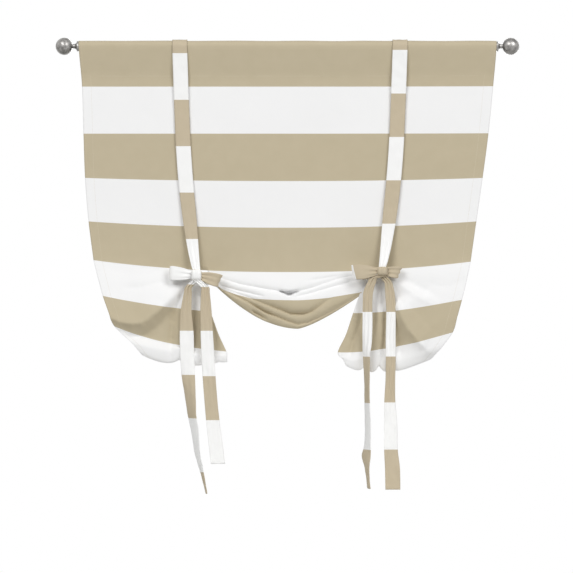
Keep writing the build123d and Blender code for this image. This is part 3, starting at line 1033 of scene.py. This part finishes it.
def printed_cotton(name, tan, white):
    """Plain-woven cotton with wide printed stripes: matt, with a slight sheen of loose fibres."""
    finish = {"Roughness": 0.9, "Specular IOR Level": 0.2, "Sheen Weight": 0.08}
    material, tree, shader = new_material(name, finish)
    coordinates = weave(tree, shader)
    stripe = add(tree, "ShaderNodeAttribute", {}, attribute_name="stripe").outputs["Fac"]
    pair = add(tree, "ShaderNodeMath", {0: stripe, 1: 0.5}, operation="MULTIPLY")
    place = add(tree, "ShaderNodeMath", {0: pair.outputs[0]}, operation="FRACT")
    is_tan = add(tree, "ShaderNodeMath", {0: place.outputs[0], 1: 0.5}, operation="LESS_THAN")
    pattern = {"Vector": coordinates, "Scale": 1 / (mottle_size * MM), "Detail": 3.0}
    mottle = add(tree, "ShaderNodeTexNoise", pattern)
    ink = blend(tree, mottle.outputs["Fac"], linear(tan[0]), linear(tan[1]))
    colour = blend(tree, is_tan.outputs[0], linear(white), ink)
    tree.links.new(colour, shader.inputs["Base Color"])
    return material


def plain_cotton(name, white):
    """The unprinted reverse of the cotton: white and matt."""
    finish = {"Base Color": linear(white), "Roughness": 0.92, "Specular IOR Level": 0.2}
    material, tree, shader = new_material(name, finish)
    weave(tree, shader)
    return material


def satin_nickel(name, dark, light, roughness):
    """Satin nickel plating with painted reflections: its colour is lighter and darker in patches."""
    material, tree, shader = new_material(name, {"Metallic": 1.0, "Roughness": roughness})
    spot = add(tree, "ShaderNodeTexCoord", {}).outputs["Object"]
    pattern = {"Vector": spot, "Scale": 1 / (reflection_patch_size * MM), "Detail": 4.0, "Roughness": 0.6}
    # Painted reflections: noise makes the plating's colour lighter and darker in patches.
    painted_reflections = add(tree, "ShaderNodeTexNoise", pattern)
    contrast = {"Value": painted_reflections.outputs["Fac"], "From Min": 0.35, "From Max": 0.65}
    ramp = add(tree, "ShaderNodeMapRange", contrast)
    tone = blend(tree, ramp.outputs[0], linear(dark), linear(light))
    tree.links.new(tone, shader.inputs["Base Color"])
    return material


def plain_material(name, colour, metallic, roughness):
    """One even colour and gloss: sewing thread, zinc-plated steel, moulded plastic or painted floor."""
    finish = {"Base Color": linear(colour), "Metallic": metallic, "Roughness": roughness}
    return new_material(name, finish)[0]


# Printed cotton of the panel and of the ties, whose print is a little lighter
panel_print = printed_cotton("printed_cotton", ("#BFB398", "#C5B99F"), "#F5F5F5")
tie_print = printed_cotton("printed_cotton_ties", ("#C3B69C", "#CABCA4"), "#F9F9F8")
# Unprinted reverse of the panel
reverse = plain_cotton("cotton_reverse", "#F0EFED")
# Plated metal of the finials and of the rod, with painted reflections in lighter and darker patches,
# fainter on the rod
nickel = satin_nickel("satin_nickel", "#72706E", "#A6A4A1", 0.36)
rod_nickel = satin_nickel("rod_nickel", "#8A8886", "#A3A19E", 0.3)
# Spun polyester thread, matt and of a tone between the two colours of the print
thread = plain_material("sewing_thread", "#D8D0C0", 0.0, 0.8)
# Bright plated steel of the studs
zinc = plain_material("zinc_plated_steel", "#B9BABC", 1.0, 0.35)
# Moulded plastic of the plugs in the tubes
plug_plastic = plain_material("black_polypropylene", "#202022", 0.0, 0.55)

# Pieces
panel = cloth_object("panel", panel_grids(), cloth_thickness, [panel_print, reverse])
ties = {}
for side in WING_ROWS:
    for layer, grids in (("front", front_tie(side)), ("back", back_tie(side))):
        strip = cloth_object(f"{side}_{layer}_strip", grids, tie_thickness, [tie_print])
        ties[f"{side}_{layer}_tie"] = strip

stitches = stitches_object("seam_stitches", seam_paths(), thread)
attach(stitches, "outer")
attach(panel, "outer")
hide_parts("curtain_panel")
for node, strip in ties.items():
    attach(strip, "outer")
    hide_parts(node)

finishes = {
    "rod_outer_tube": rod_nickel,
    "rod_inner_tube": rod_nickel,
    "left_finial": nickel,
    "right_finial": nickel,
    "left_finial_stud": zinc,
    "right_finial_stud": zinc,
    "left_rod_plug": plug_plastic,
    "right_rod_plug": plug_plastic,
}
for node, material in finishes.items():
    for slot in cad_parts[node].material_slots:
        slot.material = material

# Floor, light and camera, with sizes in metres
scene = bpy.context.scene
floor_drop = 1.5
floor_half = (2.2, 1.3)
corners = ((-1, -1), (1, -1), (1, 1), (-1, 1))
floor_mesh = bpy.data.meshes.new("floor")
floor_mesh.from_pydata(
    [(x * floor_half[0], y * floor_half[1], -floor_drop) for x, y in corners], [], [(0, 1, 2, 3)]
)
floor = new_object("floor", floor_mesh)
# Matt white paint of the floor
floor_paint = plain_material("floor_paint", "#F0F0EE", 0.0, 0.8)
floor_mesh.materials.append(floor_paint)

world = bpy.data.worlds.new("studio")
scene.world = world
world.use_nodes = True
sky = world.node_tree
sky.nodes.clear()
# What is seen of the surroundings is white, and what lights the part from all sides is dimmer.
path = add(sky, "ShaderNodeLightPath", {}).outputs
direct = {0: path["Is Camera Ray"], 1: path["Is Glossy Ray"]}
seen = add(sky, "ShaderNodeMath", direct, operation="MAXIMUM")
passed = {0: seen.outputs[0], 1: path["Is Transmission Ray"]}
shown = add(sky, "ShaderNodeMath", passed, operation="MAXIMUM")
ambient = add(sky, "ShaderNodeBackground", {"Color": (1, 1, 1, 1), "Strength": 0.2})
white = add(sky, "ShaderNodeBackground", {"Color": (1, 1, 1, 1), "Strength": 1.0})
mixed = add(sky, "ShaderNodeMixShader", {0: shown.outputs[0], 1: ambient.outputs[0], 2: white.outputs[0]})
add(sky, "ShaderNodeOutputWorld", {"Surface": mixed.outputs[0]})

# Lamps: name, place, size and power. All are aimed at the middle of the curtain.
aim = Vector((0, 0, -0.55))
lamps = (
    ("key", (-2.9, -5.3, 3.5), 3.6, 266),
    ("fill", (3.7, -5.1, 3.4), 3.6, 250),
    ("back", (0.9, 3.6, 0.1), 2.5, 98),
)
for name, place, size, power in lamps:
    lamp = bpy.data.lights.new(name, "AREA")
    lamp.size = size
    lamp.energy = power
    lamp_object = new_object(name, lamp)
    lamp_object.location = place
    lamp_object.rotation_euler = (aim - Vector(place)).to_track_quat("-Z", "Y").to_euler()

scene.view_settings.view_transform = "Standard"
# Width that the picture shows at the curtain, and the camera's place
frame_width = 1.463
camera_side = -0.0027
camera_distance = 8.0
camera_height = -0.6132
sensor_width = 36.0
camera_data = bpy.data.cameras.new("camera")
camera_data.sensor_width = sensor_width
camera_data.lens = sensor_width * camera_distance / frame_width
camera = new_object("camera", camera_data)
camera.location = (camera_side, -camera_distance, camera_height)
camera.rotation_euler = (pi / 2, 0, 0)
scene.camera = camera
